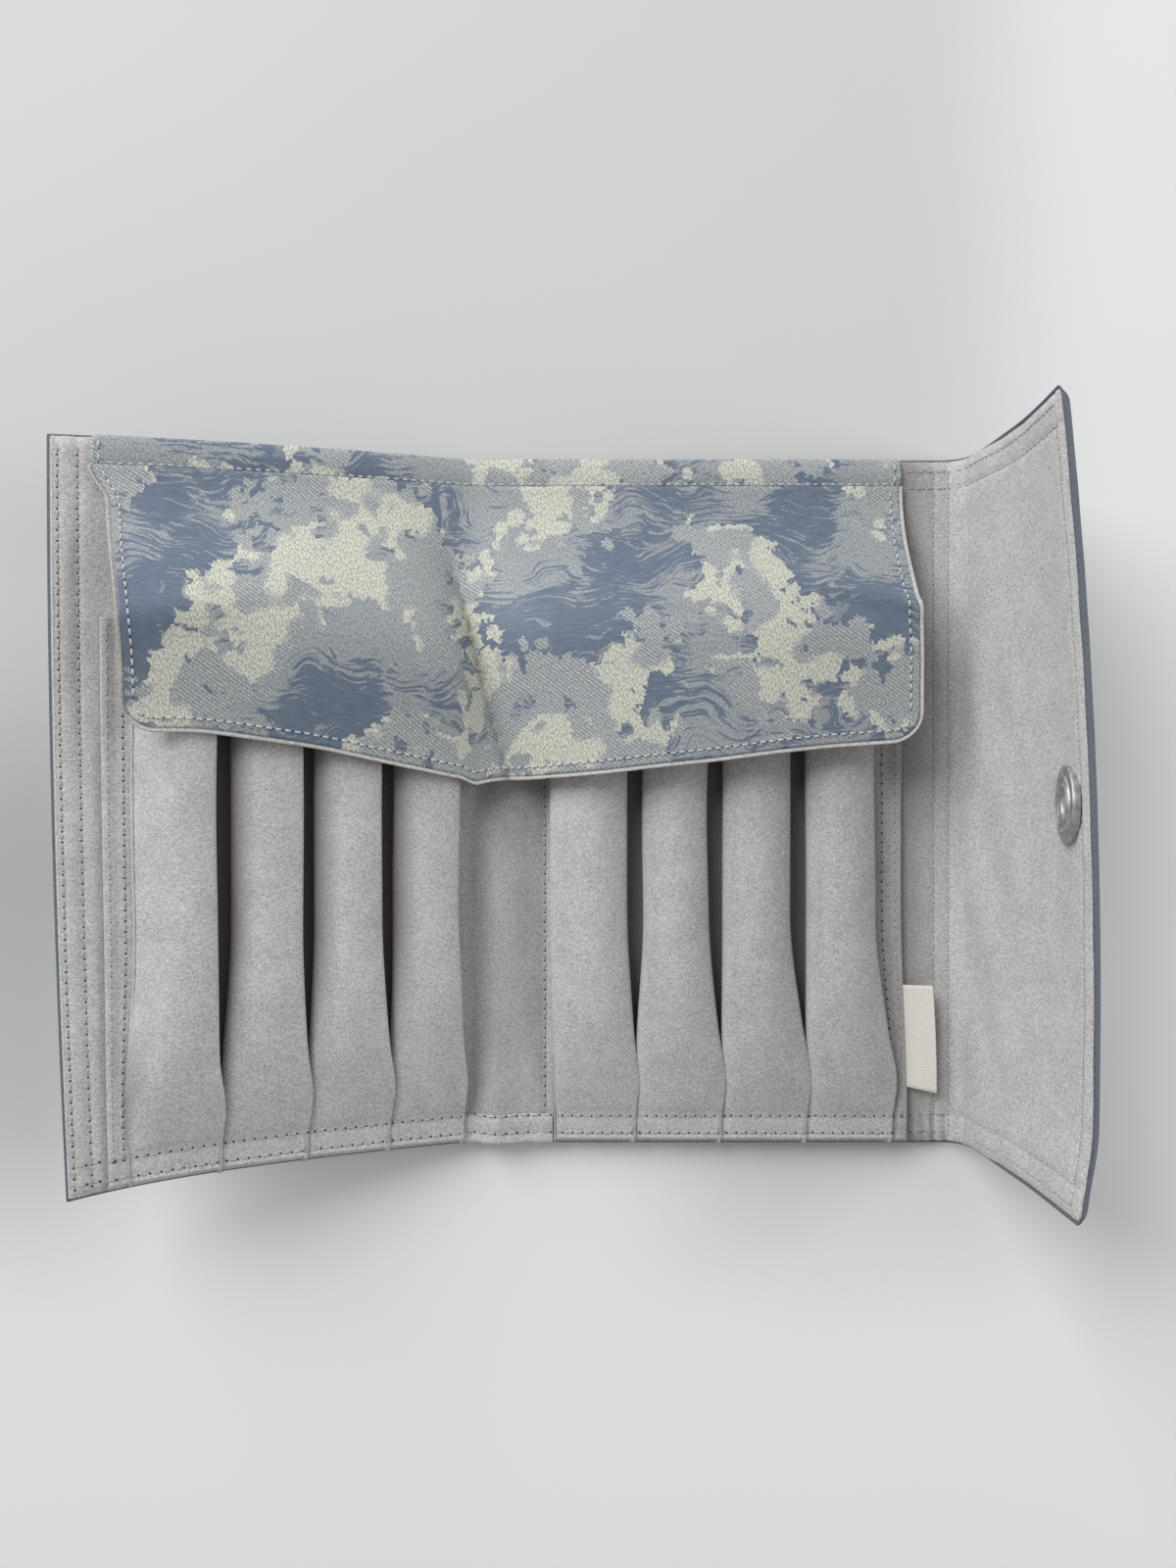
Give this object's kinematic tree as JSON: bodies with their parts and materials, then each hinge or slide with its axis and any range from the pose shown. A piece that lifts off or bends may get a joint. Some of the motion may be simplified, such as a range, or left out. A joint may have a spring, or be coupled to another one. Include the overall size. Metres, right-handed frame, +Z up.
{
  "type": "pen pouch",
  "caption": "Fold-over pen wrap lying open: brocade cover, suede lining, pleated pen sleeves under a lift-up pen flap, and a closing flap with a magnetic snap.",
  "frame": {"origin": "centre of the right panel's underside, on the table", "axes": "+X across the open wrap towards the closing flap, +Y towards the top edge where the pen flap is sewn, +Z up from the table"},
  "size_m": [0.2449, 0.185, 0.0637],
  "materials": {
    "brocade": "blue jacquard brocade with a silver-cream pattern, slight sheen",
    "suede": "light grey suede cloth with a fine nap",
    "board": "plain stiffener board",
    "label": "bare cream woven tape",
    "snap_metal": "grey plated metal, satin"
  },
  "bodies": {
    "right_panel": {"cover_right": "brocade", "stiffener_right": "board", "lining_right": "suede", "pen_sleeve_5": "suede", "pen_sleeve_6": "suede", "pen_sleeve_7": "suede", "pen_sleeve_8": "suede", "pocket_border_right": "suede", "hem_right": "suede", "top_band_right": "brocade", "label_tab": "label"},
    "spine": {"cover_spine": "brocade", "lining_spine": "suede", "hem_spine": "suede", "top_band_spine": "brocade"},
    "left_panel": {"cover_left": "brocade", "stiffener_left": "board", "lining_left": "suede", "pen_sleeve_1": "suede", "pen_sleeve_2": "suede", "pen_sleeve_3": "suede", "pen_sleeve_4": "suede", "pocket_border_left": "suede", "hem_left": "suede", "top_band_left": "brocade", "snap_stud": "snap_metal", "snap_stud_washer": "snap_metal"},
    "gusset": {"cover_gusset": "brocade", "lining_gusset": "suede"},
    "closing_flap": {"cover_flap": "brocade", "stiffener_flap": "board", "lining_flap": "suede", "snap_socket": "snap_metal", "snap_cap": "snap_metal"},
    "pen_flap_right": {"pen_flap_cover_right": "brocade", "pen_flap_lining_right": "suede"},
    "pen_flap_mid": {"pen_flap_cover_mid": "brocade", "pen_flap_lining_mid": "suede"},
    "pen_flap_left": {"pen_flap_cover_left": "brocade", "pen_flap_lining_left": "suede"}
  },
  "joints": [
    {"name": "spine_fold", "type": "hinge", "parent": "right_panel", "child": "spine", "pos_m": [-0.0555, 0, 0.0036], "axis": [0, 1, 0], "range_deg": [0, 90]},
    {"name": "left_fold", "type": "hinge", "parent": "spine", "child": "left_panel", "pos_m": [-0.077, 0, 0.0036], "axis": [0, 1, 0], "range_deg": [-16.5, 71.5]},
    {"name": "gusset_fold", "type": "hinge", "parent": "right_panel", "child": "gusset", "pos_m": [0.0555, 0, 0.0036], "axis": [0, -1, 0], "range_deg": [-78, 12]},
    {"name": "flap_fold", "type": "hinge", "parent": "gusset", "child": "closing_flap", "pos_m": [0.06128, 0, 0.03079], "axis": [0, -1, 0], "range_deg": [-4, 83]},
    {"name": "pen_flap_lift", "type": "hinge", "parent": "right_panel", "child": "pen_flap_right", "pos_m": [0, 0.08485, 0.0053], "axis": [-1, 0, 0], "range_deg": [0, 175]},
    {"name": "pen_flap_mid_lift", "type": "hinge", "parent": "spine", "child": "pen_flap_mid", "pos_m": [-0.06625, 0.08485, 0.0053], "axis": [-1, 0, 0], "range_deg": [0, 175]},
    {"name": "pen_flap_left_lift", "type": "hinge", "parent": "left_panel", "child": "pen_flap_left", "pos_m": [-0.12198, 0.08485, 0.02044], "axis": [-0.9483, 0, 0.3173], "range_deg": [0, 175]}
  ],
  "couplings": [
    {"joint": "pen_flap_mid_lift", "follows": "pen_flap_lift", "ratio": 1},
    {"joint": "pen_flap_left_lift", "follows": "pen_flap_lift", "ratio": 1}
  ]
}
